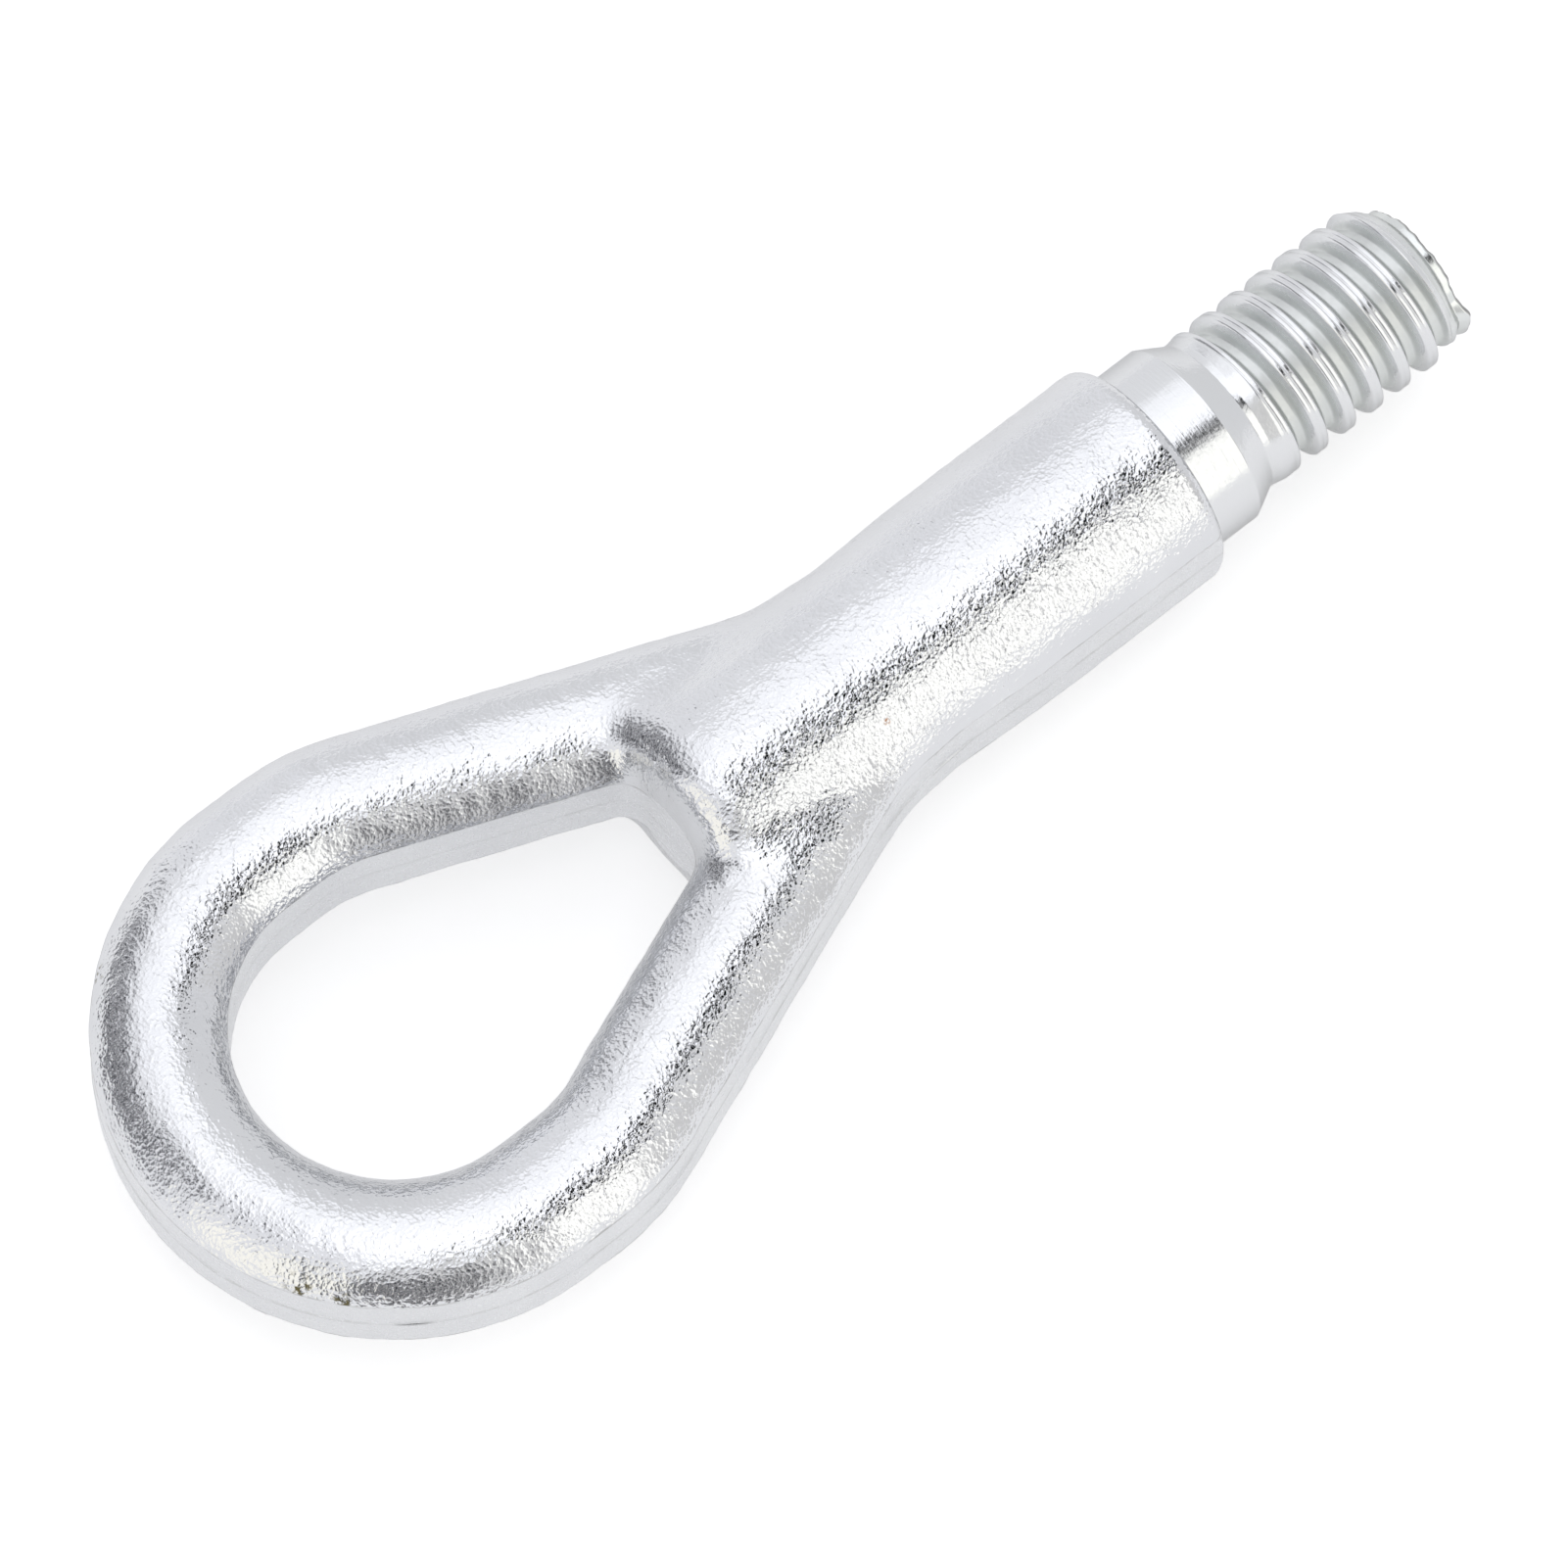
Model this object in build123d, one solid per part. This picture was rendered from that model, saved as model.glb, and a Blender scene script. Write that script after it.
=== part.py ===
from build123d import *
from math import ceil, cos, hypot, pi, radians, sin, tan
import os

# Screw-in tow eye: a drop-forged eye and shank in one piece of steel, with a
# turned collar and a rolled right-hand thread on the free end of the shank.
# Millimetres. The origin is the centre of the shoulder face where the collar
# starts, +X runs along the shank to the tip, the eye lies in the XY plane.

# Eye
BAR_R = 8.7                 # radius of the round eye bar
EYE_R = 25.55               # radius of the bar's centreline
EYE_SIDE = 4.1              # short straight side before the second arc
ARM_ANGLE = 21.6            # slope of each arm towards the axis
BAR_TRIM = 1.24             # depth of the trimmed lands in the bar, outside and in

# Crotch between the arms
CROTCH_X = -68.7            # trimmed wall that closes the hole
CROTCH_Y = 6.0              # half width of the hole at that wall
TRIM_SKIN = 0.3             # skin the trimming took off that wall
CROTCH_R = 4.2              # corners of the hole at that wall
DRAFT = 3.0                 # draft of the shank's end
CROWN_R = 7.0               # rounded edge of the shank's end
VALLEY_R = 3.4              # hollow between arm and shank at the crotch
VALLEY_END_R = 44.0         # the same hollow where it opens on the outside
VALLEY_OPENS = 0.45         # share of the hollow that keeps the small radius
VALLEY_SINK = 0.15          # how far the hollow's edges run under the skin
VALLEY_STEPS = 16

# Shank
SHANK_R = 13.75             # radius near the shoulder
WAIST_R = 13.3              # radius at the arms
TAPER_X = (-38.0, -26.0)    # where one radius passes into the other
SHANK_TRIM = 0.75           # depth of the trimmed lands in the shank
NECK_BEND = 45.0            # radius of the outline between arm and shank
SHOULDER_EDGE = 1.6         # rounded edge at the shoulder

# Collar and neck, each length from the end of the one before
COLLAR_R = 11.45
COLLAR_LENGTH = 6.9
COLLAR_EDGE = 0.6
CONE_LENGTH = 2.7           # cone between collar and thread blank
BLANK_LENGTH = 0.8          # plain end of the blank
BLANK_STEP = 0.3            # how far the blank stands below the crests
RISE_LENGTH = 1.5           # rise from the blank to the crests

# Thread
THREAD_R = 10.0             # outside radius
THREAD_DEPTH = 1.6
THREAD_LENGTH = 22.7        # at the full outside radius
PITCH = 4.0
CREST = 1.25                # width of the flat crest
FLANK = 0.78                # axial width of a flank
CLEAR = 0.4                 # the groove's cutter stands out over the crests
CHAMFER_LENGTH = 2.6        # chamfer on the last turn
CHAMFER_DEPTH = 1.2

# Pilot
PILOT_CONE = 1.0
PILOT_STEP = 0.9            # how far the pilot stands below the thread's root
PILOT_LENGTH = 1.0
TIP_EDGE = 0.7

beta = radians(ARM_ANGLE)
outer = BAR_R - BAR_TRIM
arc_x = CROTCH_X + (CROTCH_Y * cos(beta) - EYE_R + outer) / sin(beta)
eye_x = arc_x - EYE_SIDE


def arm_xy(offset, x=None, y=None):
    """Point on a parallel of the arm's centreline, from its x or its y."""
    if y is None:
        return x, (EYE_R + offset - (x - arc_x) * sin(beta)) / cos(beta)
    return arc_x + (EYE_R + offset - y * cos(beta)) / sin(beta), y


def around(radius, angle, centre):
    """Point of an eye arc, the angle counted from +Y towards the shank."""
    return centre + radius * sin(angle), radius * cos(angle)


def half_loop(offset):
    """Arcs and side of one half of a parallel of the eye, from arm to far end."""
    r = EYE_R + offset
    ThreePointArc(around(r, beta, arc_x), around(r, beta / 2, arc_x), (arc_x, r))
    Line((arc_x, r), (eye_x, r))
    ThreePointArc((eye_x, r), around(r, -pi / 4, eye_x), (eye_x - r, 0))


# Eye bar: a round bar swept round the eye, both ends buried in the shank
with BuildLine() as bar_path:
    Line(arm_xy(0, y=3.0), around(EYE_R, beta, arc_x))
    half_loop(0)
    mirror(about=Plane.XZ)
with BuildPart() as eye_bar:
    with BuildSketch(Plane(bar_path.line @ 0, z_dir=bar_path.line % 0)):
        Circle(BAR_R)
    sweep(path=bar_path.line)

# Shank: revolved, with a drafted and crowned end between the arms
wall_x = CROTCH_X - TRIM_SKIN
slant = radians(DRAFT)
crown_c = (
    wall_x + (CROWN_R + (WAIST_R - CROWN_R) * sin(slant)) / cos(slant),
    WAIST_R - CROWN_R,
)
crown_a = (crown_c[0] - CROWN_R * cos(slant), crown_c[1] + CROWN_R * sin(slant))
with BuildPart() as shank:
    with BuildSketch():
        with BuildLine():
            Line((wall_x, 0), crown_a)
            RadiusArc(crown_a, (crown_c[0], WAIST_R), CROWN_R)
            Polyline(
                (crown_c[0], WAIST_R),
                (TAPER_X[0], WAIST_R),
                (TAPER_X[1], SHANK_R),
                (-SHOULDER_EDGE, SHANK_R),
            )
            RadiusArc(
                (-SHOULDER_EDGE, SHANK_R), (0, SHANK_R - SHOULDER_EDGE), SHOULDER_EDGE
            )
            Polyline((0, SHANK_R - SHOULDER_EDGE), (0, 0), (wall_x, 0))
        make_face()
    revolve(axis=Axis.X)

# Hollows: a ball of the valley radius rolls between each arm and the shank
def ball(phi):
    """Radius and centre of the rolling ball at the angle phi round the arm's
    centreline, with the two points where it touches the arm and the shank."""
    opened = max(0, (phi / pi - VALLEY_OPENS) / (1 - VALLEY_OPENS))
    radius = VALLEY_R + (VALLEY_END_R - VALLEY_R) * opened**3
    reach = BAR_R + radius
    side, z = -reach * cos(phi), reach * sin(phi)

    def place(x):
        y = arm_xy(side, x=x)[1]
        rho = hypot(y, z)
        dx, dr = x - crown_c[0], rho - crown_c[1]
        if dx >= 0:
            gap, foot = dr, (x, crown_c[1])
        elif dx * sin(slant) + dr * cos(slant) <= 0:
            gap = -dx * cos(slant) + dr * sin(slant)
            foot = (x + gap * cos(slant), rho - gap * sin(slant))
        else:
            gap, foot = hypot(dx, dr), crown_c
        return y, rho, gap - CROWN_R - radius, foot

    low, high = wall_x - 2 * radius, 0
    for _ in range(60):
        x = (low + high) / 2
        if place(x)[2] > 0:
            low = x
        else:
            high = x
    y, rho, _, foot = place(x)
    centre = Vector(x, y, z)
    from_arm = Vector(sin(beta) * side, cos(beta) * side, z) / reach
    to_core = Vector(foot[0] - x, (foot[1] - rho) * y / rho, (foot[1] - rho) * z / rho)
    on_arm = centre - from_arm * radius
    on_shank = centre + to_core.normalized() * radius
    return radius, centre, on_arm, on_shank


def hollow_section(phi):
    """Closed section of the metal in the hollow, its two ends under the skin."""
    radius, centre, on_arm, on_shank = ball(phi)
    half = (on_arm + on_shank) / 2 - centre
    deep = radius * radius / half.length + 1.0
    start = on_arm + (on_arm - centre).normalized() * VALLEY_SINK
    end = on_shank + (on_shank - centre).normalized() * VALLEY_SINK
    middle = centre + half.normalized() * radius
    root = centre + half.normalized() * deep
    arc = Edge.make_three_point_arc(start, middle, end)
    return Face(Wire([arc, Edge.make_line(end, root), Edge.make_line(root, start)]))


upper = loft([hollow_section(pi * k / VALLEY_STEPS) for k in range(VALLEY_STEPS + 1)])
one_arm = [upper, mirror(upper, about=Plane.XY)]
hollows = one_arm + [Rot(180, 0, 0) * half for half in one_arm]

# Trimmed outline: the flash was sheared off upright all round and in the hole
waist_y = WAIST_R - SHANK_TRIM
shank_y = SHANK_R - SHANK_TRIM
knee_x = arm_xy(outer, y=waist_y)[0]
bend = NECK_BEND * tan(beta / 2)
bend_in = (knee_x - bend * cos(beta), waist_y + bend * sin(beta))
bend_out = (knee_x + bend, waist_y)
bend_mid = (
    bend_out[0] - NECK_BEND * sin(beta / 2),
    waist_y + NECK_BEND * (1 - cos(beta / 2)),
)
corner = CROTCH_R * tan((pi / 2 - beta) / 2)
corner_in = (CROTCH_X - corner * cos(beta), CROTCH_Y + corner * sin(beta))
corner_out = (CROTCH_X, CROTCH_Y - corner)
with BuildSketch() as plan:
    with BuildLine():
        half_loop(outer)
        Line(around(EYE_R + outer, beta, arc_x), bend_in)
        ThreePointArc(bend_in, bend_mid, bend_out)
        Polyline(bend_out, (TAPER_X[1], shank_y), (0, shank_y), (0, 0))
        Line((0, 0), (eye_x - EYE_R - outer, 0))
    make_face()
    with BuildLine():
        half_loop(-outer)
        Line(around(EYE_R - outer, beta, arc_x), corner_in)
        RadiusArc(corner_in, corner_out, CROTCH_R)
        Polyline(corner_out, (CROTCH_X, 0), (eye_x - EYE_R + outer, 0))
    make_face(mode=Mode.SUBTRACT)
    mirror(about=Plane.XZ)
forging = eye_bar.part + shank.part
for hollow in hollows:
    forging += hollow
forging &= extrude(plan.sketch, amount=SHANK_R + 1, both=True)

# Collar, cone, thread blank and pilot, all turned on one axis
neck_x = COLLAR_LENGTH + CONE_LENGTH
full_x = neck_x + BLANK_LENGTH + RISE_LENGTH
chamfer_x = full_x + THREAD_LENGTH
thread_end = chamfer_x + CHAMFER_LENGTH
pilot_x = thread_end + PILOT_CONE
tip_x = pilot_x + PILOT_LENGTH
blank_r = THREAD_R - BLANK_STEP
root_r = THREAD_R - THREAD_DEPTH
pilot_r = root_r - PILOT_STEP
with BuildPart() as turned:
    with BuildSketch():
        with BuildLine():
            Polyline(
                (-SHOULDER_EDGE, 0),
                (-SHOULDER_EDGE, COLLAR_R),
                (COLLAR_LENGTH - COLLAR_EDGE, COLLAR_R),
                (COLLAR_LENGTH + COLLAR_EDGE, COLLAR_R - COLLAR_EDGE),
                (neck_x, blank_r),
                (neck_x + BLANK_LENGTH, blank_r),
                (full_x, THREAD_R),
                (chamfer_x, THREAD_R),
                (thread_end, THREAD_R - CHAMFER_DEPTH),
                (pilot_x, pilot_r),
                (tip_x - TIP_EDGE, pilot_r),
                (tip_x, pilot_r - TIP_EDGE),
                (tip_x, 0),
                (-SHOULDER_EDGE, 0),
            )
        make_face()
    revolve(axis=Axis.X)

# Rolled thread: the groove between the crests, one turn after the other,
# with a round run-in where the rolls first bite, at -Z
root_half = (PITCH - CREST) / 2 - FLANK
mouth_half = root_half + FLANK * (THREAD_DEPTH + CLEAR) / THREAD_DEPTH
mouth_r = THREAD_R + CLEAR
turns = ceil((thread_end - full_x) / PITCH)
with BuildPart() as groove:
    with BuildLine() as helix:
        Helix(PITCH, PITCH, root_r)
    with BuildSketch(Plane.XZ):
        Polygon(
            (root_r, -root_half),
            (mouth_r, -mouth_half),
            (mouth_r, mouth_half),
            (root_r, root_half),
            align=None,
        )
    sweep(path=helix.line, is_frenet=True)
on_floor = (Align.CENTER, Align.CENTER, Align.MIN)
run_in = Cone(root_half, mouth_half, mouth_r - root_r, align=on_floor)
thread_axis = Pos(full_x, 0, 0) * Rot(0, 90, 0)
screw = turned.part - thread_axis * Pos(root_r, 0, 0) * Rot(0, 90, 0) * run_in
for turn in range(turns):
    screw -= thread_axis * Pos(0, 0, turn * PITCH) * groove.part

tow_eye = forging + screw
os.makedirs("parts", exist_ok=True)
export_step(tow_eye, "parts/tow_eye.step")
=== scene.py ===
import math

import bmesh
import bpy
import numpy as np
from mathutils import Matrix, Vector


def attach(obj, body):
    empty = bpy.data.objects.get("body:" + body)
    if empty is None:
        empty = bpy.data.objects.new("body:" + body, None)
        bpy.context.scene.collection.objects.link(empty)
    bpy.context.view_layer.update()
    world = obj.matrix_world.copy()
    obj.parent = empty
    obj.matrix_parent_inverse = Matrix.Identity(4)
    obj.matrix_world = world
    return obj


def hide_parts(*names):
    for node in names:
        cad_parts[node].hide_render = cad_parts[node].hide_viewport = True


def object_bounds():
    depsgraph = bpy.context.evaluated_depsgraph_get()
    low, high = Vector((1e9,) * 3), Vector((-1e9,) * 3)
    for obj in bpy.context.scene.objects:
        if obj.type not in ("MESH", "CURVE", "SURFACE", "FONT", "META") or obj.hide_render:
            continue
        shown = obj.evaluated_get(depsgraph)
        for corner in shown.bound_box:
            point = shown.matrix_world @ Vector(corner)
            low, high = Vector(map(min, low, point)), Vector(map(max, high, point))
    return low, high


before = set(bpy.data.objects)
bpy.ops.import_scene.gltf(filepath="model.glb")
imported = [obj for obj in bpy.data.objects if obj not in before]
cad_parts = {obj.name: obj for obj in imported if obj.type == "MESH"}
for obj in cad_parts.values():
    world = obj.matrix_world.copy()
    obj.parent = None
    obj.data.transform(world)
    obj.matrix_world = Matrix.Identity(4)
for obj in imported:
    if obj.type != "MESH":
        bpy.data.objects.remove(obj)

cad_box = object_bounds()
MM = 0.001

# Forged eye and shank: one drop forging of steel, a round bar led round the
# eye and back into a round shank. The flash was sheared off upright all round
# and inside the eye, which left flat lands on the sides, and it is zinc plated.

BAR_R = 8.7
EYE_R = 25.55
EYE_SIDE = 4.1
ARM_ANGLE = math.radians(21.6)
LAND = BAR_R - 1.24
CROTCH_X = -68.7
CROTCH_Y = 6.0
CROTCH_R = 4.2
TRIM_SKIN = 0.3
CROWN_R = 4.4
DRAFT = math.radians(3.0)
WAIST_R = 13.3
SHANK_R = 13.75
SHANK_TRIM = 0.75
TAPER_X = (-38.0, -26.0)
NECK_BEND = 45.0
SHOULDER_EDGE = 1.6
VALLEY_R = 3.4
NECK_R = 44.0
NECK_X = (-63.0, -41.0)
EDGE_WEAR = 0.13
WALL_TO_CROWN = 1.0

sin_a, cos_a = math.sin(ARM_ANGLE), math.cos(ARM_ANGLE)
arc_x = CROTCH_X + (CROTCH_Y * cos_a - EYE_R + LAND) / sin_a
eye_x = arc_x - EYE_SIDE
wall_x = CROTCH_X - TRIM_SKIN
crown_x = wall_x + (CROWN_R + (WAIST_R - CROWN_R) * math.sin(DRAFT)) / math.cos(DRAFT)
crown_y = WAIST_R - CROWN_R
waist_y = WAIST_R - SHANK_TRIM
land_y = SHANK_R - SHANK_TRIM
knee_x = arc_x + (EYE_R + LAND - waist_y * cos_a) / sin_a
neck_end = knee_x + NECK_BEND * math.tan(ARM_ANGLE / 2)


def shank_radius(x):
    """Radius of the shank at x: waist, straight taper, full radius, rounded shoulder."""
    over = np.clip(x + SHOULDER_EDGE, 0, SHOULDER_EDGE)
    edge = SHOULDER_EDGE - np.sqrt(SHOULDER_EDGE**2 - over**2)
    return np.interp(x, TAPER_X, (WAIST_R, SHANK_R)) - edge


def bar_distance(x, y, z):
    """Distance to the skin of the bar, and the direction in which it grows.
    Offset from the centreline in plan and height are the sides of the radius."""
    side = (x >= eye_x) & (x <= arc_x)
    arm = (x - arc_x) * cos_a - y * sin_a > 0
    cx = np.where(x < eye_x, eye_x, np.where(side, x, arc_x))
    reach = np.maximum(np.hypot(x - cx, y), 1e-9)
    gx = np.where(arm, sin_a, (x - cx) / reach)
    gy = np.where(arm, cos_a, y / reach)
    offset = np.where(arm, (x - arc_x) * sin_a + y * cos_a, reach) - EYE_R
    ring = np.maximum(np.hypot(offset, z), 1e-9)
    return ring - BAR_R, (gx * offset / ring, gy * offset / ring, z / ring)


def shank_distance(x, y, z):
    """Distance to the skin of the shank, and the direction in which it grows:
    a profile of drafted end, crown arc and side, turned round the axis."""
    rho = np.maximum(np.hypot(y, z), 1e-9)
    dx, dr = x - crown_x, rho - crown_y
    sin_d, cos_d = math.sin(DRAFT), math.cos(DRAFT)
    on_side = dx >= 0
    on_end = ~on_side & (dx * sin_d + dr * cos_d <= 0)
    reach = np.maximum(np.hypot(dx, dr), 1e-9)
    end = np.where(on_end, dr * sin_d - dx * cos_d, reach) - CROWN_R
    gap = np.where(on_side, rho - shank_radius(x), end)
    gx = np.where(on_side, 0, np.where(on_end, -cos_d, dx / reach))
    gr = np.where(on_side, 1, np.where(on_end, sin_d, dr / reach))
    return gap, (gx, gr * y / rho, gr * z / rho)


def forging_distance(x, y, z):
    """Distance to the untrimmed skin: the nearer of bar and shank, with a ball
    rolled along the valley between them. a and b are the depths of a point
    below the planes that touch the ball, and slant is the angle between them."""
    d_bar, n_bar = bar_distance(x, y, z)
    d_shank, n_shank = shank_distance(x, y, z)
    slant = np.clip(sum(p * q for p, q in zip(n_bar, n_shank)), -0.999, 0.9999)
    opened = np.clip((x - NECK_X[0]) / (NECK_X[1] - NECK_X[0]), 0, 1)
    ball = VALLEY_R + (NECK_R - VALLEY_R) * opened**3
    a, b = ball - d_bar, ball - d_shank
    in_valley = (b > slant * a) & (a > slant * b) & (a + b > 0)
    square = np.maximum(a * a + b * b - 2 * a * b * slant, 0) / (1 - slant**2)
    return np.where(in_valley, ball - np.sqrt(square), np.minimum(d_bar, d_shank))


def skin_height(x, y):
    """Height of the upper skin over each point of the plan, by halving."""
    low, high = np.zeros_like(x), np.full_like(x, SHANK_R + 2)
    for _ in range(32):
        z = (low + high) / 2
        inside = forging_distance(x, y, z) < 0
        low, high = np.where(inside, z, low), np.where(inside, high, z)
    return (low + high) / 2


def loop_half(offset, station):
    """A parallel of the bar's centreline, from the far end of the eye over the
    side to the arm, at stations in millimetres along the centreline."""
    quarter, second = EYE_R * math.pi / 2, EYE_R * ARM_ANGLE
    run = np.clip(station - quarter, 0, EYE_SIDE)
    turned = np.clip(station, 0, quarter) + np.clip(station - quarter - EYE_SIDE, 0, second)
    arm = np.maximum(station - quarter - EYE_SIDE - second, 0)
    angle = math.pi - turned / EYE_R
    return np.c_[
        eye_x + run + arm * cos_a + (EYE_R + offset) * np.cos(angle),
        -arm * sin_a + (EYE_R + offset) * np.sin(angle),
    ]


def arc(centre, radius, start, end, steps):
    """Points of an arc, its angles counted from +X."""
    t = np.linspace(start, end, steps)
    return np.c_[centre[0] + radius * np.cos(t), centre[1] + radius * np.sin(t)]


def share_out(points, share):
    """Points at the given shares of a polyline's length."""
    length = np.r_[0, np.cumsum(np.hypot(*np.diff(points, axis=0).T))]
    at = share * length[-1]
    return np.c_[np.interp(at, length, points[:, 0]), np.interp(at, length, points[:, 1])]


# Plan of one half, as two edges with matching stations. Inside: the hole's
# edge, its corner, the crotch wall, then the axis. Outside: the trimmed edge.
ARM_ROWS, WALL_ROWS, CROWN_ROWS, SHANK_ROWS = 226, 24, 92, 66
corner = CROTCH_R * math.tan((math.pi / 2 - ARM_ANGLE) / 2)
corner_x = CROTCH_X - corner * cos_a
arm_end = (EYE_R * (math.pi / 2 + ARM_ANGLE) + EYE_SIDE
           + (corner_x - arc_x - (EYE_R - LAND) * sin_a) / cos_a)
station = np.linspace(0, arm_end, ARM_ROWS, endpoint=False)
hole_edge, outer_edge = loop_half(-LAND, station), loop_half(LAND, station)
corner_line = arc((CROTCH_X - CROTCH_R, CROTCH_Y - corner), CROTCH_R,
                  math.pi / 2 - ARM_ANGLE, 0, 24)
wall_line = np.vstack((corner_line, (CROTCH_X, 0)))
wall_length = np.hypot(*np.diff(wall_line, axis=0).T).sum()
wall_share = np.linspace(0, 1, WALL_ROWS, endpoint=False)
crown_turn = np.linspace(DRAFT, math.pi / 2, 40)
crown_line = np.r_[CROTCH_X, crown_x - CROWN_R * np.cos(crown_turn), neck_end]
climb = np.r_[0, WALL_TO_CROWN + CROWN_R * (crown_turn - DRAFT)]
climb = np.r_[climb, climb[-1] + neck_end - crown_x]
climb_at = np.linspace(0, climb[-1], CROWN_ROWS)
axis_line = np.c_[np.interp(climb_at, climb, crown_line), np.zeros(CROWN_ROWS)]
inner = np.vstack((hole_edge, share_out(wall_line, wall_share), axis_line))
neck_line = np.vstack((
    loop_half(LAND, np.array([arm_end])),
    arc((neck_end, waist_y + NECK_BEND), NECK_BEND, -math.pi / 2 - ARM_ANGLE, -math.pi / 2, 60),
))
neck_share = np.r_[wall_share * wall_length, wall_length + climb_at] / (wall_length + climb[-1])
outer = np.vstack((outer_edge, share_out(neck_line, neck_share)))
wall_end = ARM_ROWS + WALL_ROWS + 1

# Skin over each station: heights on a fine ladder that closes up at both
# edges, then points evenly along the skin, one of them next to each edge
ACROSS, LADDER = 42, 400
rung = (1 - np.cos(math.pi * np.linspace(0, 1, LADDER))) / 2
plan_x = inner[:, :1] + (outer[:, :1] - inner[:, :1]) * rung
plan_y = inner[:, 1:] + (outer[:, 1:] - inner[:, 1:]) * rung
ladder = np.stack((plan_x, plan_y, skin_height(plan_x, plan_y)), axis=2)
length = np.cumsum(np.linalg.norm(np.diff(ladder, axis=1), axis=2), axis=1)
length = np.c_[np.zeros(len(ladder)), length]
whole = length[:, -1:]
outer_gap = EDGE_WEAR / whole
inner_gap = np.where(np.arange(len(ladder))[:, None] < wall_end, outer_gap, 1 / ACROSS)
even = np.linspace(0, 1, ACROSS - 2)
share = inner_gap + (1 - outer_gap - inner_gap) * even
share = np.c_[np.zeros(len(ladder)), share, np.ones(len(ladder))]
upper = np.stack([
    np.stack([np.interp(s, l, p[:, k]) for k in range(3)], axis=1)
    for s, l, p in zip(share * whole, length, ladder)
])

# Shank: the same rows go on round the axis, held in by the flat lands
shoulder = np.sin(np.linspace(0, math.pi / 2, 8)[1:]) - 1
shank_x = np.r_[np.linspace(neck_end, -SHOULDER_EDGE, SHANK_ROWS)[1:], SHOULDER_EDGE * shoulder]
radius = shank_radius(shank_x)[:, None]
trim_y = np.interp(shank_x, (neck_end, TAPER_X[1]), (waist_y, land_y))[:, None]
round_turn = math.pi / 2 - np.arccos(np.minimum(trim_y / radius, 1))
turn = math.pi / 2 - round_turn * share[-1]
round_skin = np.stack((
    np.repeat(shank_x[:, None], turn.shape[1], axis=1),
    radius * np.cos(turn),
    radius * np.sin(turn),
), axis=2)
upper = np.vstack((upper, round_skin))


def softened(grid, share, rounds=36):
    """Grid whose points are drawn to the middle of their four neighbours, again
    and again, by a share of each point; the two edge lines stay, and past the
    crotch wall the axis has its mirror image as a neighbour."""
    for _ in range(rounds):
        mirrored = grid[:, 1] * (1, -1, 1)
        middle = grid.copy()
        middle[1:-1, 1:-1] = (grid[:-2, 1:-1] + grid[2:, 1:-1] + grid[1:-1, :-2] + grid[1:-1, 2:]) / 4
        axis = slice(wall_end, -1)
        middle[axis, 0] = (grid[wall_end - 1:-2, 0] + grid[wall_end + 1:, 0]
                           + mirrored[axis] + grid[axis, 1]) / 4
        grid = grid + share * (middle - grid)
    return grid


VALLEY_AT, VALLEY_REACH = (-66.0, 6.0), 9.0
from_valley = np.hypot(upper[..., 0] - VALLEY_AT[0], upper[..., 1] - VALLEY_AT[1])
upper = softened(upper, np.clip(1.5 - from_valley / VALLEY_REACH, 0, 1)[..., None])

# Walls: levels as shares of the height, with a few more for the thin ridge that
# the two halves of the die left at mid height
WALL_STEPS = 14
PARTING_ROWS = (-0.09, -0.05, -0.025, 0.0, 0.025, 0.05, 0.09)
PARTING_RIDGE, PARTING_HALF, RIDGE_IN_HOLE = 0.10, 0.16, 0.35


def sheared_wall(edge_line):
    """Wall under an edge line: straight down to the edge's mirror image, with a
    narrow step next to either edge."""
    top = edge_line[:, 2]
    worn = np.clip(EDGE_WEAR / np.maximum(top, 1e-6), 0, 0.3)[:, None]
    level = np.sort(np.r_[np.linspace(-1, 1, WALL_STEPS), PARTING_ROWS])[::-1]
    level = (1 - worn) * level
    z = np.c_[np.ones(len(top)), level, -np.ones(len(top))] * top[:, None]
    flat = np.repeat(edge_line[:, None, :2], z.shape[1], axis=1)
    return np.concatenate((flat, z[..., None]), axis=2)


def face_disc(edge_row, steps=12):
    """Flat end: the last row drawn in to the middle of the face."""
    shrink = np.linspace(1, 0, steps)[:, None, None]
    return np.concatenate((np.full((steps, len(edge_row), 1), edge_row[0, 0]),
                           edge_row[None, :, 1:] * shrink), axis=2)


def quads(points, first):
    """Corner numbers of the faces of a grid of points, numbered from first on."""
    rows, columns = points.shape[:2]
    n = first + np.arange(rows * columns).reshape(rows, columns)
    return np.stack((n[:-1, :-1], n[:-1, 1:], n[1:, 1:], n[1:, :-1]), axis=2).reshape(-1, 4)


def join_grids(name, grids):
    """One closed mesh from grids of points in millimetres, each with the number
    of its material; rows that meet are merged and faces turned outwards."""
    points, faces, finish, count = [], [], [], 0
    for grid, material in grids:
        points.append(grid.reshape(-1, 3))
        faces.append(quads(grid, count))
        finish.append(np.full(len(faces[-1]), material))
        count += len(points[-1])
    mesh = bpy.data.meshes.new(name)
    mesh.from_pydata(np.vstack(points) * MM, [], np.vstack(faces).tolist())
    mesh.polygons.foreach_set("material_index", np.concatenate(finish).astype(np.int32))
    shell = bmesh.new()
    shell.from_mesh(mesh)
    bmesh.ops.remove_doubles(shell, verts=shell.verts, dist=0.002 * MM)
    bmesh.ops.dissolve_degenerate(shell, edges=shell.edges, dist=0.001 * MM)
    bmesh.ops.recalc_face_normals(shell, faces=shell.faces)
    shell.to_mesh(mesh)
    shell.free()
    mesh.polygons.foreach_set("use_smooth", np.ones(len(mesh.polygons), dtype=bool))
    return mesh


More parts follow.
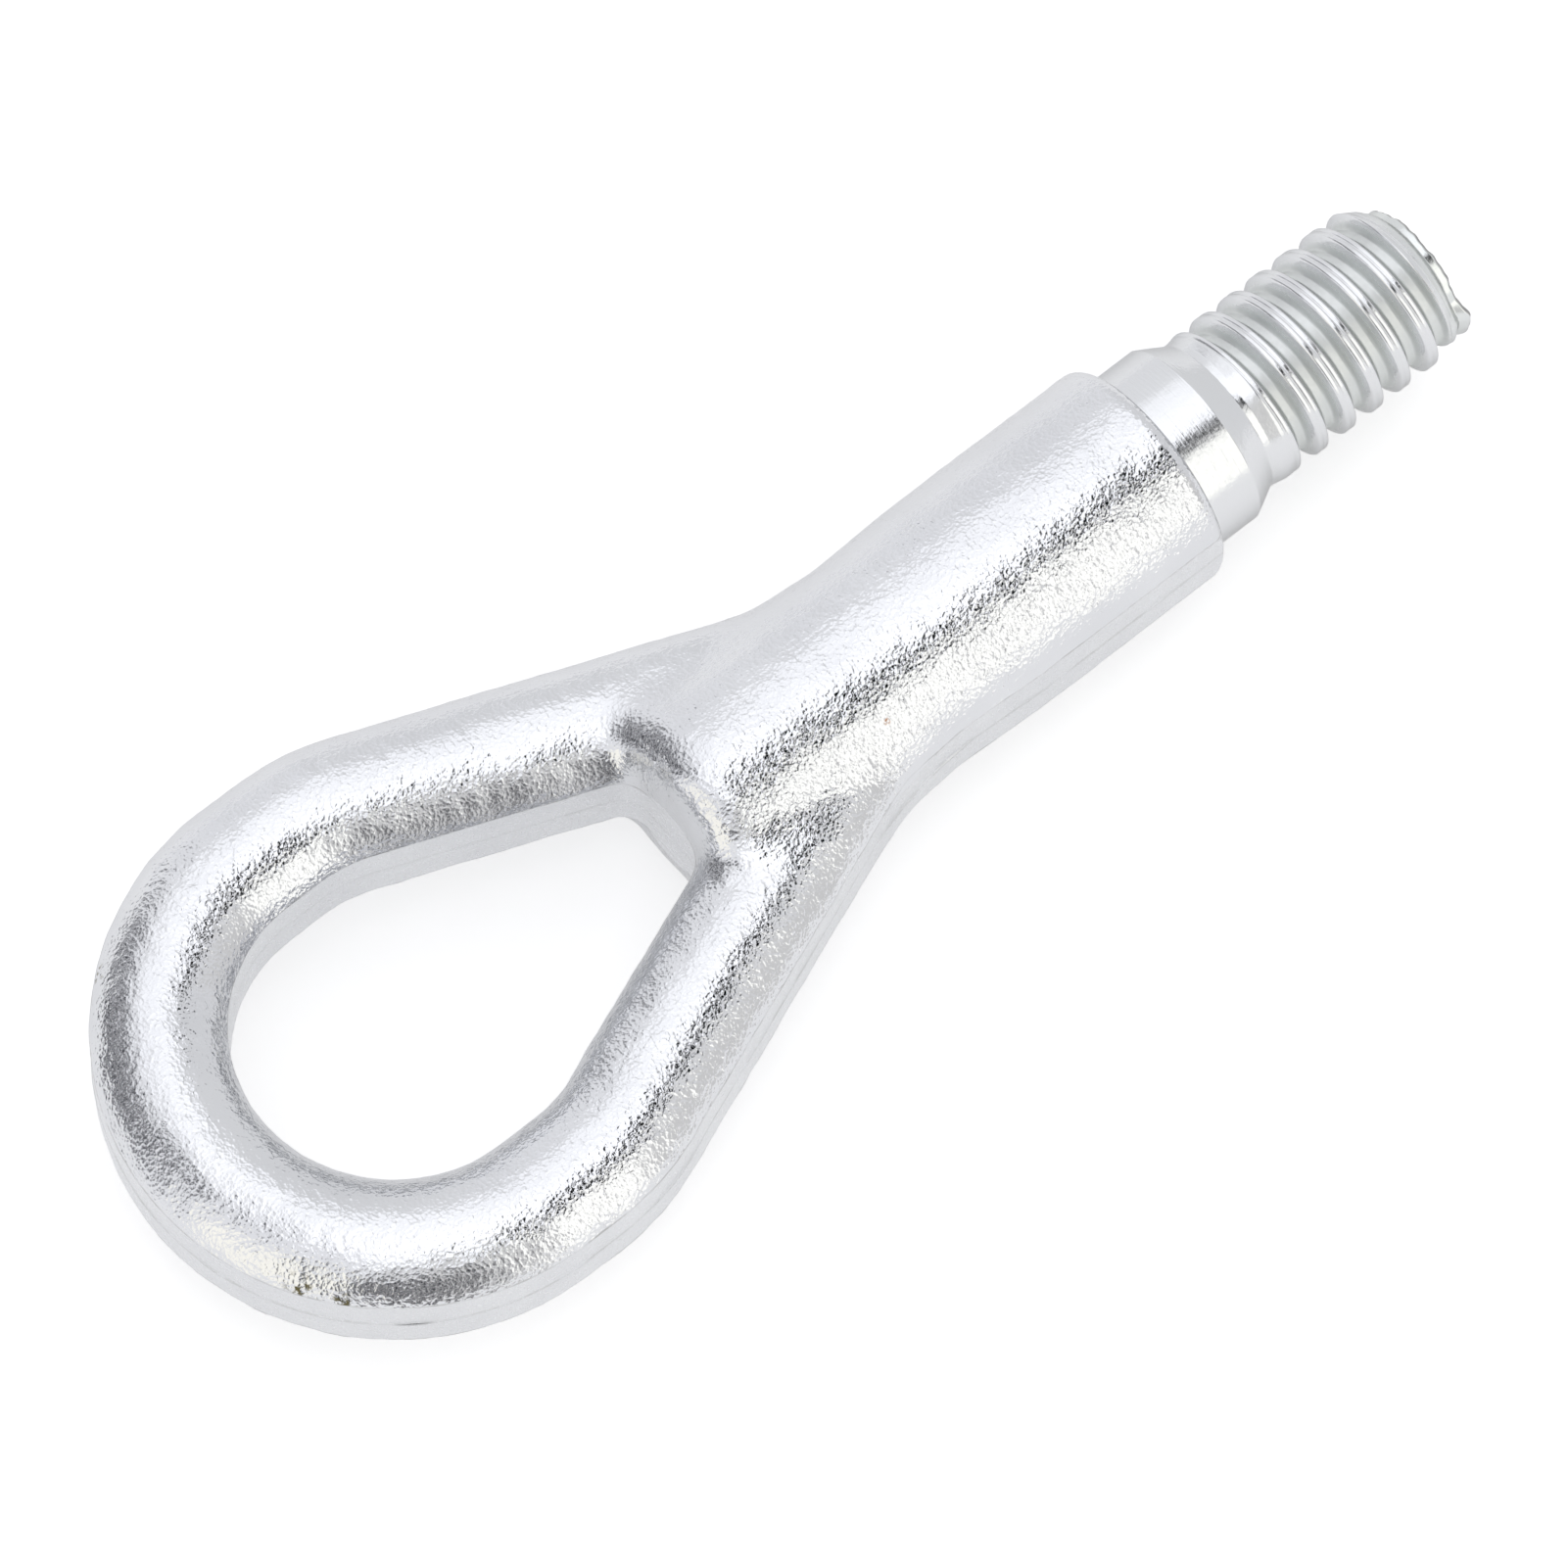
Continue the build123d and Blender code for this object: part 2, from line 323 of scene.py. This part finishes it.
def vertex_arrays(mesh):
    """Places and normals of a mesh's points as arrays, in millimetres."""
    place = np.empty(len(mesh.vertices) * 3)
    mesh.vertices.foreach_get("co", place)
    normal = np.empty(len(mesh.vertices) * 3)
    mesh.vertex_normals.foreach_get("vector", normal)
    return place.reshape(-1, 3) / MM, normal.reshape(-1, 3)


def unevenness(place, wavelength, seed, waves=40):
    """Random field of about unit size: cosines of one wavelength and of random
    direction and phase, added up."""
    random = np.random.default_rng(seed)
    direction = random.normal(size=(waves, 3))
    direction /= np.linalg.norm(direction, axis=1)[:, None]
    stretch = random.uniform(0.7, 1.5, waves)[:, None]
    phase = random.uniform(0, 2 * math.pi, waves)
    k = direction * stretch * 2 * math.pi / wavelength
    return np.cos(place @ k.T + phase).sum(axis=1) * math.sqrt(2 / waves)


mirrors = [np.array((1, sy, sz)) for sy in (1, -1) for sz in (1, -1)]
outer_wall = sheared_wall(upper[:, -1])
inner_wall = sheared_wall(upper[:wall_end, 0])
FORGED, SHEARED, IN_HOLE = 0, 1, 2
grids = [(upper * m, FORGED) for m in mirrors]
grids += [(face_disc(upper[-1]) * m, FORGED) for m in mirrors]
grids += [(outer_wall * m, SHEARED) for m in mirrors[::2]]
grids += [(inner_wall * m, IN_HOLE) for m in mirrors[::2]]
forged_mesh = join_grids("forged_eye_and_shank", grids)
place, normal = vertex_arrays(forged_mesh)
ON_WALL = 0.25
upright = np.abs(normal[:, 2]) < ON_WALL
roll = 0.030 * unevenness(place, 9.0, 1) + 0.014 * unevenness(place, 3.2, 2)
peel = 0.007 * unevenness(place, 1.7, 3)
ridge = PARTING_RIDGE * np.exp(-(place[:, 2] / PARTING_HALF) ** 2)
ridge *= 1 + 0.5 * unevenness(place, 12.0, 4)
in_hole = normal[:, 0] * (place[:, 0] - (eye_x + arc_x) / 2) + normal[:, 1] * place[:, 1] < 0
ridge *= np.where(in_hole, RIDGE_IN_HOLE, 1)
swell = np.where(upright, 0.4 * roll + ridge, roll + peel)
swell *= np.clip(-place[:, 0] / 3, 0, 1)
forged_mesh.vertices.foreach_set("co", ((place + normal * swell[:, None]) * MM).ravel())
forging = bpy.data.objects.new("forged_eye_and_shank", forged_mesh)
bpy.context.collection.objects.link(forging)


def add(nodes, kind, **settings):
    """A node with its settings."""
    node = nodes.new(kind)
    for key, value in settings.items():
        setattr(node, key, value)
    return node


def noise(tree, place_socket, size, detail, rough=0.6, distortion=0.0):
    """Noise whose largest features are about size millimetres across."""
    node = add(tree.nodes, "ShaderNodeTexNoise", noise_type="FBM", normalize=True)
    tree.links.new(place_socket, node.inputs["Vector"])
    node.inputs["Scale"].default_value = 1 / (size * MM)
    node.inputs["Detail"].default_value = detail
    node.inputs["Roughness"].default_value = rough
    node.inputs["Distortion"].default_value = distortion
    return node.outputs[0]


def cells(tree, place_socket, size):
    """Shallow bowls about size millimetres apart: squared distance to the
    nearest of scattered points."""
    node = add(tree.nodes, "ShaderNodeTexVoronoi", feature="F1")
    tree.links.new(place_socket, node.inputs["Vector"])
    node.inputs["Scale"].default_value = 1 / (size * MM)
    return combine(tree, "POWER", node.outputs["Distance"], 2)


def spread(tree, source, low, high, to_low=0.0, to_high=1.0, smooth=False):
    """Socket mapped from the range low to high on to the range to_low to to_high."""
    node = add(tree.nodes, "ShaderNodeMapRange")
    node.interpolation_type = "SMOOTHSTEP" if smooth else "LINEAR"
    tree.links.new(source, node.inputs["Value"])
    for name, value in zip(("From Min", "From Max", "To Min", "To Max"), (low, high, to_low, to_high)):
        node.inputs[name].default_value = value
    return node.outputs["Result"]


def combine(tree, operation, a, b):
    """Math node of two sockets or numbers."""
    node = add(tree.nodes, "ShaderNodeMath", operation=operation)
    for socket, value in zip(node.inputs, (a, b)):
        if isinstance(value, (int, float)):
            socket.default_value = value
        else:
            tree.links.new(value, socket)
    return node.outputs[0]


def tint(tree, share, low, high):
    """Colour between low and high by a share."""
    node = add(tree.nodes, "ShaderNodeMix", data_type="RGBA")
    tree.links.new(share, node.inputs["Factor"])
    node.inputs[6].default_value = (*low, 1)
    node.inputs[7].default_value = (*high, 1)
    return node.outputs[2]


def blend(tree, share, below, colour):
    """Colour socket below, turning to a fixed colour by a share."""
    node = add(tree.nodes, "ShaderNodeMix", data_type="RGBA")
    tree.links.new(share, node.inputs["Factor"])
    tree.links.new(below, node.inputs[6])
    node.inputs[7].default_value = (*colour, 1)
    return node.outputs[2]


def away(tree, place_socket, centre):
    """Distance from a point given in millimetres."""
    node = add(tree.nodes, "ShaderNodeVectorMath", operation="DISTANCE")
    tree.links.new(place_socket, node.inputs[0])
    node.inputs[1].default_value = [c * MM for c in centre]
    return node.outputs["Value"]


def bumped(tree, heights):
    """Bump nodes one after the other, each a height socket with its depth in
    millimetres."""
    before = None
    for height, depth in heights:
        node = add(tree.nodes, "ShaderNodeBump")
        node.inputs["Strength"].default_value = 1.0
        node.inputs["Distance"].default_value = depth * MM
        tree.links.new(height, node.inputs["Height"])
        if before is not None:
            tree.links.new(before, node.inputs["Normal"])
        before = node.outputs["Normal"]
    return before


def metal(name, glancing):
    """New material with a metallic shader that mirrors less at a glancing angle,
    and its tree, shader and place."""
    material = bpy.data.materials.new(name)
    material.use_nodes = True
    tree = material.node_tree
    shader = tree.nodes["Principled BSDF"]
    shader.inputs["Metallic"].default_value = 1.0
    shader.inputs["Specular Tint"].default_value = (glancing, glancing, glancing, 1)
    place = add(tree.nodes, "ShaderNodeTexCoord").outputs["Object"]
    return material, tree, shader, place


# Stains: place, reach in millimetres and colour
# OLIVE and RUST are stain colours; the third is the grey of a painted shade line along the edge of the
# flat land.
OLIVE, RUST, LAND_EDGE_SHADE = (0.12, 0.105, 0.05), (0.34, 0.17, 0.09), (0.40, 0.40, 0.39)
LAND_TOP = math.sqrt(BAR_R**2 - LAND**2)
STAINS = (
    ((-133.9, -17.3, 5.2), 2.4, OLIVE),
    ((-131.4, -21.3, 4.4), 2.2, OLIVE),
    ((-127.6, 24.6, 4.6), 1.6, OLIVE),
    ((-44.8, -8.4, 10.2), 0.6, RUST),
)


def flash_line(tree, place_socket, level, width, strongest=0.8):
    """Share of a thin broken line at a level above and below mid height, where
    the flash was cut off; along the edge of the flat land the line is painted shade."""
    part = add(tree.nodes, "ShaderNodeSeparateXYZ")
    tree.links.new(place_socket, part.inputs[0])
    height = combine(tree, "ABSOLUTE", part.outputs[2], 0)
    off = combine(tree, "ABSOLUTE", combine(tree, "SUBTRACT", height, level * MM), 0)
    line = spread(tree, off, width * MM, 0.3 * width * MM)
    patches = noise(tree, place_socket, 5, 4, rough=0.75)
    broken = spread(tree, patches, 0.38, 0.66, 0.12 * strongest, strongest)
    return combine(tree, "MULTIPLY", line, broken)


def forged_zinc():
    """Bright zinc over a forged skin: crinkled like orange peel, coarser in some
    places than in others, with a few brown stains where the plate is thin."""
    material, tree, shader, place = metal("zinc_on_forged_skin", 0.86)
    clouds = noise(tree, place, 14, 3)
    colour = tint(tree, spread(tree, clouds, 0.35, 0.65), (0.71, 0.717, 0.738), (0.745, 0.752, 0.77))
    blots = spread(tree, noise(tree, place, 0.9, 3), 0.50, 0.60)
    for centre, reach, brown in STAINS:
        spot = spread(tree, away(tree, place, centre), reach * MM, 0.3 * reach * MM, smooth=True)
        stained = combine(tree, "MULTIPLY", spot, blots)
        colour = blend(tree, stained, colour, brown)
    # Painted shade: a dark broken line along the edge of the flat land, where the forged skin meets the
    # sheared wall.
    colour = blend(tree, flash_line(tree, place, LAND_TOP, 0.16), colour, LAND_EDGE_SHADE)
    tree.links.new(colour, shader.inputs["Base Color"])
    wide = spread(tree, noise(tree, place, 11, 2), 0.42, 0.6)
    folds = combine(tree, "MULTIPLY", noise(tree, place, 1.35, 2, rough=0.5, distortion=0.8), wide)
    crinkle = noise(tree, place, 0.64, 2, rough=0.5, distortion=0.5)
    dimples = cells(tree, place, 0.44)
    grain = noise(tree, place, 0.3, 1)
    tree.links.new(spread(tree, grain, 0.3, 0.7, 0.05, 0.11), shader.inputs["Roughness"])
    normal = bumped(tree, ((folds, 0.11), (crinkle, 0.075), (dimples, 0.043)))
    tree.links.new(normal, shader.inputs["Normal"])
    return material


def sheared_zinc(name, strongest):
    """Zinc over a sheared wall: smooth and even, with faint upright tears, a line
    of painted shade along the edge of the flat land and a darker line at mid
    height, the strongest part of both lines given as a share."""
    material, tree, shader, place = metal(name, 1.0)
    squeeze = add(tree.nodes, "ShaderNodeMapping")
    squeeze.inputs["Scale"].default_value = (1, 1, 0.18)
    tree.links.new(place, squeeze.inputs["Vector"])
    clouds = noise(tree, place, 9, 3)
    colour = tint(tree, spread(tree, clouds, 0.35, 0.65), (0.745, 0.752, 0.772), (0.78, 0.788, 0.805))
    # Painted shade: the same dark broken line along the top of the wall, at the edge of the flat land.
    colour = blend(tree, flash_line(tree, place, LAND_TOP, 0.22, strongest), colour, LAND_EDGE_SHADE)
    middle_line = flash_line(tree, place, 0.12, 0.3, strongest)
    colour = blend(tree, middle_line, colour, (0.56, 0.565, 0.56))
    tree.links.new(colour, shader.inputs["Base Color"])
    tears = noise(tree, squeeze.outputs["Vector"], 0.9, 3)
    grain = noise(tree, place, 0.5, 2)
    tree.links.new(spread(tree, grain, 0.3, 0.7, 0.24, 0.36), shader.inputs["Roughness"])
    tree.links.new(bumped(tree, ((tears, 0.05), (grain, 0.02))), shader.inputs["Normal"])
    return material


forged_mesh.materials.append(forged_zinc())
forged_mesh.materials.append(sheared_zinc("zinc_on_outer_wall", 0.8))
forged_mesh.materials.append(sheared_zinc("zinc_on_wall_of_hole", 0.3))
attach(forging, "root")
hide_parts("tow_eye")

# Turned collar and rolled thread: turned on the end of the forged shank, then
# rolled between dies, which pushed the metal up into smooth crests. The last
# turn is chamfered, and the short pilot past it was cut off and kept a lip.

COLLAR_R = 11.45
COLLAR_END = 6.9
COLLAR_EDGE = 0.6
BURIED = 0.6
CONE_END = 9.6
BLANK_R = 9.7
BLANK_END = 10.4
FULL_X = 11.9
THREAD_R = 10.0
THREAD_DEPTH = 1.6
PITCH = 4.0
CREST = 1.25
FLANK = 0.78
CHAMFER_X = 34.6
THREAD_END = 36.8
CHAMFER_R = 8.8
PILOT_X = 37.5
PILOT_R = 7.8
TIP_X = 38.6
TIP_EDGE = 0.3
SEAM_DEPTH = 0.10
SEAM_HALF = 0.20
ROOT_ROUND = 0.35
CREST_ROUND = 0.22

profile_x = (-BURIED, COLLAR_END - COLLAR_EDGE, COLLAR_END + COLLAR_EDGE, CONE_END, BLANK_END,
             FULL_X, CHAMFER_X, THREAD_END, PILOT_X, TIP_X - TIP_EDGE, TIP_X)
profile_r = (COLLAR_R, COLLAR_R, COLLAR_R - COLLAR_EDGE, BLANK_R, BLANK_R,
             THREAD_R, THREAD_R, CHAMFER_R, PILOT_R, PILOT_R, PILOT_R - TIP_EDGE)


def blunt(a, b, width):
    """Smaller of a and b, with the corner between them rounded over a width."""
    share = np.clip(0.5 + (b - a) / (2 * width), 0, 1)
    return b + (a - b) * share - width * share * (1 - share)


def turned_radius(x, angle):
    """Radius at x and at an angle round the axis from -Z: the turned profile,
    or the groove where it is deeper. The groove climbs one pitch a turn, with
    straight flanks, and starts in a round run-in. A shallow seam, where the two
    sides of a rolled crest met, runs along the middle between two grooves."""
    outside = np.interp(x, profile_x, profile_r)
    ahead = x - FULL_X - PITCH * angle / (2 * math.pi)
    turn_number = np.maximum(np.round(ahead / PITCH), 0)
    across = np.abs(ahead - turn_number * PITCH)
    back = 2 * math.pi - angle
    before = np.hypot(x - FULL_X, THREAD_R * back)
    across = np.minimum(across, before)
    root_half = (PITCH - CREST) / 2 - FLANK
    slope = THREAD_DEPTH / FLANK
    root = THREAD_R - THREAD_DEPTH
    flank = root + (across - root_half) * slope
    groove = -blunt(-flank, -root * np.ones_like(flank), ROOT_ROUND)
    crest_middle = np.clip(1 - np.abs(across - PITCH / 2) / SEAM_HALF, 0, 1)
    crest = outside - SEAM_DEPTH * crest_middle**2
    return blunt(crest, groove, CREST_ROUND)


COLUMNS, ROWS_PER_TURN = 200, 48
angle = np.linspace(0, 2 * math.pi, COLUMNS + 1)


def round_points(x, angle):
    """Grid of points on the turned and threaded surface."""
    radius = turned_radius(x, angle)
    return np.stack((x, radius * np.sin(angle), -radius * np.cos(angle)), axis=2)


collar_x = np.r_[
    np.linspace(-BURIED, COLLAR_END - COLLAR_EDGE - 0.1, 20),
    np.linspace(COLLAR_END - COLLAR_EDGE, COLLAR_END + COLLAR_EDGE, 14),
    np.linspace(COLLAR_END + COLLAR_EDGE + 0.1, CONE_END, 12),
]
PILOT_ROWS = 8
tip_x = np.r_[np.linspace(PILOT_X, TIP_X - TIP_EDGE, PILOT_ROWS),
              np.linspace(TIP_X - TIP_EDGE, TIP_X, 4)[1:]]
climb_x = np.append(np.arange(CONE_END - PITCH, PILOT_X, PITCH / ROWS_PER_TURN), PILOT_X)
thread_x = np.clip(climb_x[:, None] + PITCH * angle / (2 * math.pi), CONE_END, PILOT_X)
collar_grid = round_points(np.repeat(collar_x[:, None], COLUMNS + 1, 1), angle + 0 * collar_x[:, None])
thread_grid = round_points(thread_x, angle + 0 * thread_x)
tip_grid = round_points(np.repeat(tip_x[:, None], COLUMNS + 1, 1), angle + 0 * tip_x[:, None])


LIP_TURN, LIP_HALF = math.radians(-18), math.radians(42)
LIP_START = TIP_X - 2.4
LIP_OUT, LIP_AHEAD = 0.18, 0.5
RIM_FROM, RIM_WIDTH = 3.2, 2.6


def cut_off(points):
    """The end as it was cut off: a rim made ragged by three sine waves, and on
    one side a lip of metal that was pushed outwards and a little past the face.
    turn is the angle round the axis from -Y."""
    x, y, z = points[..., 0], points[..., 1], points[..., 2]
    radius = np.hypot(y, z)
    turn = np.arctan2(z, -y)
    near_end = np.clip((x - LIP_START) / (TIP_X - TIP_EDGE - LIP_START), 0, 1)
    rim = np.clip((radius - RIM_FROM) / RIM_WIDTH, 0, 1) ** 2 * near_end**3
    lip = np.clip(1.6 * (1 - ((turn - LIP_TURN) / LIP_HALF) ** 2), 0, 1)
    ragged = 0.08 * np.sin(7 * turn + 1) + 0.05 * np.sin(17 * turn) + 0.04 * np.sin(31 * turn + 2)
    grown = x + rim * (LIP_AHEAD * lip + ragged)
    wider = 1 + LIP_OUT * lip * near_end * np.clip(radius / 6, 0, 1)
    return np.stack((grown, y * wider, z * wider), axis=-1)


face = face_disc(tip_grid[-1], 26)
TURNED, CUT = 0, 1
screw_mesh = join_grids("turned_collar_and_thread", (
    (collar_grid, TURNED),
    (cut_off(thread_grid), TURNED),
    (cut_off(tip_grid[:PILOT_ROWS]), TURNED),
    (face_disc(collar_grid[0], 3), TURNED),
    (cut_off(tip_grid[PILOT_ROWS - 1:]), CUT),
    (cut_off(face), CUT),
))
place, normal = vertex_arrays(screw_mesh)
on_thread = np.clip((place[:, 0] - CONE_END) / 3, 0, 1)
swell = (0.003 + 0.012 * on_thread) * unevenness(place, 6.0, 5)
swell += 0.003 * on_thread * unevenness(place, 1.8, 6)
screw_mesh.vertices.foreach_set("co", ((place + normal * swell[:, None]) * MM).ravel())
screw = bpy.data.objects.new("turned_collar_and_thread", screw_mesh)
bpy.context.collection.objects.link(screw)


def turned_zinc():
    """Zinc over turned and rolled steel: smooth and bright, with fine tool rings
    on the collar and a duller tone down in the thread."""
    material, tree, shader, place = metal("zinc_on_turned_steel", 0.68)
    part = add(tree.nodes, "ShaderNodeSeparateXYZ")
    tree.links.new(place, part.inputs[0])
    radius = combine(tree, "SQRT", combine(
        tree, "ADD",
        combine(tree, "MULTIPLY", part.outputs[1], part.outputs[1]),
        combine(tree, "MULTIPLY", part.outputs[2], part.outputs[2]),
    ), 0)
    raised = spread(tree, radius, 8.5 * MM, 9.8 * MM, smooth=True)
    clouds = spread(tree, noise(tree, place, 5, 3), 0.35, 0.65)
    colour = tint(tree, combine(tree, "MULTIPLY", raised, spread(tree, clouds, 0, 1, 0.8, 1)),
                  (0.725, 0.745, 0.735), (0.75, 0.757, 0.772))
    tree.links.new(colour, shader.inputs["Base Color"])
    rings = add(tree.nodes, "ShaderNodeMapping")
    rings.inputs["Scale"].default_value = (1, 0.02, 0.02)
    tree.links.new(place, rings.inputs["Vector"])
    tool_marks = noise(tree, rings.outputs["Vector"], 0.22, 2)
    on_collar = spread(tree, part.outputs[0], 7.6 * MM, 7.2 * MM)
    grain = noise(tree, place, 0.5, 2)
    sunk = combine(tree, "MULTIPLY", spread(tree, radius, 9.5 * MM, 8.7 * MM, smooth=True),
                   spread(tree, part.outputs[0], PILOT_X * MM, (THREAD_END - 0.6) * MM))
    tree.links.new(combine(tree, "ADD", spread(tree, grain, 0.3, 0.7, 0.12, 0.24),
                           combine(tree, "MULTIPLY", sunk, 0.26)), shader.inputs["Roughness"])
    marks = combine(tree, "MULTIPLY", tool_marks, on_collar)
    crinkle = noise(tree, place, 1.2, 3)
    tree.links.new(bumped(tree, ((marks, 0.02), (crinkle, 0.03), (grain, 0.012))),
                   shader.inputs["Normal"])
    return material


def cut_steel():
    """The cut end, where the plate is thin and grey."""
    material, tree, shader, place = metal("thin_zinc_on_cut_end", 0.8)
    clouds = spread(tree, noise(tree, place, 1.5, 3), 0.35, 0.65)
    colour = tint(tree, clouds, (0.30, 0.30, 0.30), (0.44, 0.44, 0.43))
    tree.links.new(colour, shader.inputs["Base Color"])
    grain = noise(tree, place, 0.4, 2)
    tree.links.new(spread(tree, grain, 0.3, 0.7, 0.3, 0.5), shader.inputs["Roughness"])
    tree.links.new(bumped(tree, ((grain, 0.03),)), shader.inputs["Normal"])
    return material


screw_mesh.materials.append(turned_zinc())
screw_mesh.materials.append(cut_steel())
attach(screw, "root")
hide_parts("tow_eye")

# Studio: a pale table under the eye, and a tent of soft light round it, with a
# brighter cool top, a warmer front, and dark gaps that the metal mirrors.

TABLE_SIZE = 4.0
table_mesh = bpy.data.meshes.new("table")
half = TABLE_SIZE / 2
low = float(cad_box[0][2])
table_mesh.from_pydata([(-half, -half, low), (half, -half, low), (half, half, low), (-half, half, low)],
                       [], [(0, 1, 2, 3)])
table = bpy.data.objects.new("table", table_mesh)
bpy.context.collection.objects.link(table)
table_paint = bpy.data.materials.new("pale_table")
table_paint.use_nodes = True
tree = table_paint.node_tree
tree.nodes.clear()
matt = add(tree.nodes, "ShaderNodeBsdfDiffuse")
matt.inputs["Color"].default_value = (0.75, 0.75, 0.75, 1)
glow = add(tree.nodes, "ShaderNodeEmission")
rays = add(tree.nodes, "ShaderNodeLightPath")
mirrored = combine(tree, "MAXIMUM", rays.outputs["Is Glossy Ray"], rays.outputs["Is Transmission Ray"])
tree.links.new(combine(tree, "ADD", combine(tree, "MULTIPLY", rays.outputs["Is Camera Ray"], 0.5),
                       combine(tree, "MULTIPLY", mirrored, 0.34)), glow.inputs["Strength"])
both = add(tree.nodes, "ShaderNodeAddShader")
tree.links.new(matt.outputs[0], both.inputs[0])
tree.links.new(glow.outputs[0], both.inputs[1])
paint_out = add(tree.nodes, "ShaderNodeOutputMaterial")
tree.links.new(both.outputs[0], paint_out.inputs["Surface"])
table_mesh.materials.append(table_paint)

world = bpy.data.worlds.new("light_tent")
bpy.context.scene.world = world
world.use_nodes = True
tent_tree = world.node_tree
tent_tree.nodes.clear()
toward = add(tent_tree.nodes, "ShaderNodeTexCoord").outputs["Generated"]


def facing(direction):
    """Cosine between the ray and a direction."""
    node = add(tent_tree.nodes, "ShaderNodeVectorMath", operation="DOT_PRODUCT")
    unit = np.array(direction) / np.linalg.norm(direction)
    tent_tree.links.new(toward, node.inputs[0])
    node.inputs[1].default_value = unit
    return node.outputs["Value"]


def cap(direction, spread_deg, soft_deg):
    """Share of a round patch of the tent, with a soft rim."""
    inside = math.cos(math.radians(max(spread_deg - soft_deg, 0)))
    rim = math.cos(math.radians(spread_deg + soft_deg))
    return spread(tent_tree, facing(direction), rim, inside, smooth=True)


def strip(normal, width_deg, soft_deg):
    """Share of a strip along the great circle at right angles to a direction."""
    off = combine(tent_tree, "ABSOLUTE", facing(normal), 0)
    inside = math.sin(math.radians(max(width_deg - soft_deg, 0)))
    return spread(tent_tree, off, math.sin(math.radians(width_deg + soft_deg)), inside, smooth=True)


CLOTH, DARK = (0.985, 0.99, 1.02), (0.06, 0.06, 0.07)
tent = tint(tent_tree, cap((1.0, 0.35, 0.1), 48, 20), CLOTH, (0.83, 0.835, 0.85))
for direction, spread_deg, soft_deg, colour in (
    ((0.22, 0.42, 0.88), 16, 8, (1.25, 1.26, 1.30)),     # three lamps over the top
    ((0.30, 0.15, 0.94), 12, 6, (1.32, 1.33, 1.37)),
    ((0.06, -0.17, 0.98), 23, 7, (1.41, 1.42, 1.47)),
    ((0.1, -1.0, 0.15), 52, 12, (0.76, 0.755, 0.75)),    # dimmer cloth low in front
):
    tent = blend(tent_tree, cap(direction, spread_deg, soft_deg), tent, colour)
front = combine(tent_tree, "MULTIPLY",
                strip((0.963, 0.24, -0.12), 12, 5), cap((0.26, -0.87, 0.42), 28, 5))
tent = blend(tent_tree, front, tent, (1.42, 1.41, 1.35))
tent = blend(tent_tree, cap((-0.92, -0.2, 0.33), 18, 6), tent, (1.26, 1.23, 1.13))
clutter = add(tent_tree.nodes, "ShaderNodeTexNoise", noise_type="FBM", normalize=True)
tent_tree.links.new(toward, clutter.inputs["Vector"])
clutter.inputs["Scale"].default_value = 9
clutter.inputs["Detail"].default_value = 1
things = spread(tent_tree, clutter.outputs[0], 0.40, 0.54, 0.35, 1.0)
for direction, spread_deg, soft_deg in (
    ((-0.55, -0.72, 0.38), 22, 7),
    ((-0.53, 0.78, 0.28), 29, 8),
    ((-0.53, 0.30, 0.79), 8, 4),
):
    dim = combine(tent_tree, "MULTIPLY", cap(direction, spread_deg, soft_deg), things)
    tent = blend(tent_tree, dim, tent, DARK)
gap = combine(tent_tree, "MULTIPLY",
              strip((0.4425, -0.735, -0.475), 5.6, 2), cap((0.36, -0.34, 0.87), 21, 7))
tent = blend(tent_tree, gap, tent, (0.0, 0.0, 0.0))
sky = add(tent_tree.nodes, "ShaderNodeBackground")
tent_tree.links.new(tent, sky.inputs["Color"])
sky_out = add(tent_tree.nodes, "ShaderNodeOutputWorld")
tent_tree.links.new(sky.outputs[0], sky_out.inputs["Surface"])

# Camera: a long lens over the table, seen with the eye to the lower left

VIEW_AZIMUTH = -39.8
VIEW_ELEVATION = 66.0
DISTANCE = 1.5
TARGET = (-55.2 * MM, -3.5 * MM, 0.0)
PIXELS_PER_MM = 9.371
FRAME_PIXELS = 1601
SENSOR = 36.0

camera_data = bpy.data.cameras.new("camera")
camera = bpy.data.objects.new("camera", camera_data)
bpy.context.collection.objects.link(camera)
bpy.context.scene.camera = camera
az, el = math.radians(VIEW_AZIMUTH), math.radians(VIEW_ELEVATION)
back = np.array((math.sin(az) * math.cos(el), -math.cos(az) * math.cos(el), math.sin(el)))
camera.location = np.array(TARGET) + back * DISTANCE
camera.rotation_euler = (math.pi / 2 - el, 0, az)
camera_data.sensor_width = SENSOR
camera_data.lens = SENSOR * PIXELS_PER_MM * DISTANCE / MM / FRAME_PIXELS
camera_data.clip_end = 20

bpy.context.scene.view_settings.view_transform = "Standard"
